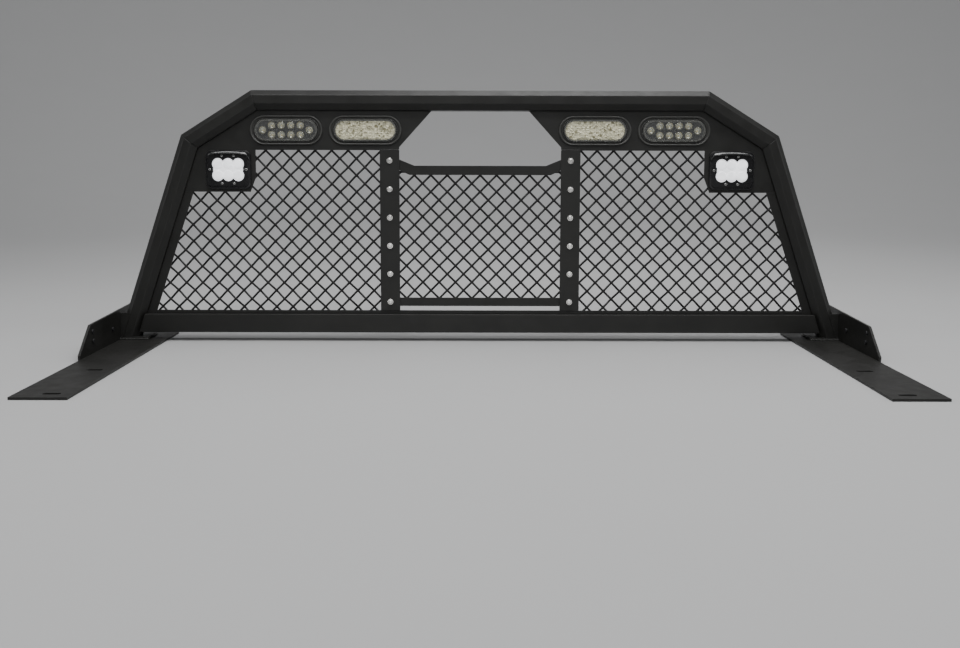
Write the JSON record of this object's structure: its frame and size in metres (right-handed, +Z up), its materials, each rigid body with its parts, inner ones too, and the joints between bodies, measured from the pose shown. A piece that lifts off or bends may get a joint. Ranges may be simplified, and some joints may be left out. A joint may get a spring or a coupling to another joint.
{
  "type": "headache rack",
  "caption": "Leaned octagonal-tube headache rack with woven wire panels, a bolted centre screen, oval lamps, flush floodlights and slotted bed-rail feet.",
  "frame": {"origin": "centre of the bounding box at the level of the feet's undersides", "axes": "+X across the truck to the right seen from the tailgate, +Y towards the cab, +Z up; the lights face -Y"},
  "size_m": [1.918, 0.6884, 0.6526],
  "materials": {
    "black_coat": "satin black powder coat with a fine texture",
    "black_wire": "satin black powder coat on woven wire",
    "rubber": "moulded black rubber",
    "lamp_plastic": "moulded black plastic",
    "circuit_board": "white solder mask",
    "clear_lens": "clear moulded polycarbonate",
    "frosted_lens": "clear moulded polycarbonate over bright optics",
    "black_casting": "black coated die casting",
    "black_bolt": "black oxide steel bolts",
    "stainless": "plain stainless steel"
  },
  "bodies": {
    "root": {"bottom_beam": "black_coat", "bottom_strip": "black_coat", "centre_wire_mesh": "black_wire", "foot_bolts": "black_bolt", "left_flood_bezel": "black_casting", "left_flood_gasket": "rubber", "left_flood_housing": "black_casting", "left_flood_led_board": "circuit_board", "left_flood_lens": "frosted_lens", "left_flood_screws": "stainless", "left_foot_plate": "black_coat", "left_inner_lamp_grommet": "rubber", "left_inner_lamp_housing": "lamp_plastic", "left_inner_lamp_led_board": "circuit_board", "left_inner_lamp_lens": "clear_lens", "left_leg_shoe": "black_coat", "left_leg_strip": "black_coat", "left_leg_tube": "black_coat", "left_leg_web": "black_coat", "left_light_panel": "black_coat", "left_outer_lamp_grommet": "rubber", "left_outer_lamp_housing": "lamp_plastic", "left_outer_lamp_led_board": "circuit_board", "left_outer_lamp_lens": "clear_lens", "left_screen_side_bar": "black_coat", "left_shoulder_tube": "black_coat", "left_side_plate": "black_coat", "left_upright": "black_coat", "left_wire_mesh": "black_wire", "right_flood_bezel": "black_casting", "right_flood_gasket": "rubber", "right_flood_housing": "black_casting", "right_flood_led_board": "circuit_board", "right_flood_lens": "frosted_lens", "right_flood_screws": "stainless", "right_foot_plate": "black_coat", "right_inner_lamp_grommet": "rubber", "right_inner_lamp_housing": "lamp_plastic", "right_inner_lamp_led_board": "circuit_board", "right_inner_lamp_lens": "clear_lens", "right_leg_shoe": "black_coat", "right_leg_strip": "black_coat", "right_leg_tube": "black_coat", "right_leg_web": "black_coat", "right_light_panel": "black_coat", "right_outer_lamp_grommet": "rubber", "right_outer_lamp_housing": "lamp_plastic", "right_outer_lamp_led_board": "circuit_board", "right_outer_lamp_lens": "clear_lens", "right_screen_side_bar": "black_coat", "right_shoulder_tube": "black_coat", "right_side_plate": "black_coat", "right_upright": "black_coat", "right_wire_mesh": "black_wire", "screen_bolts": "stainless", "screen_bottom_bar": "black_coat", "screen_nuts": "stainless", "screen_top_bar": "black_coat", "screen_washers": "stainless", "top_beam": "black_coat"}
  },
  "joints": []
}
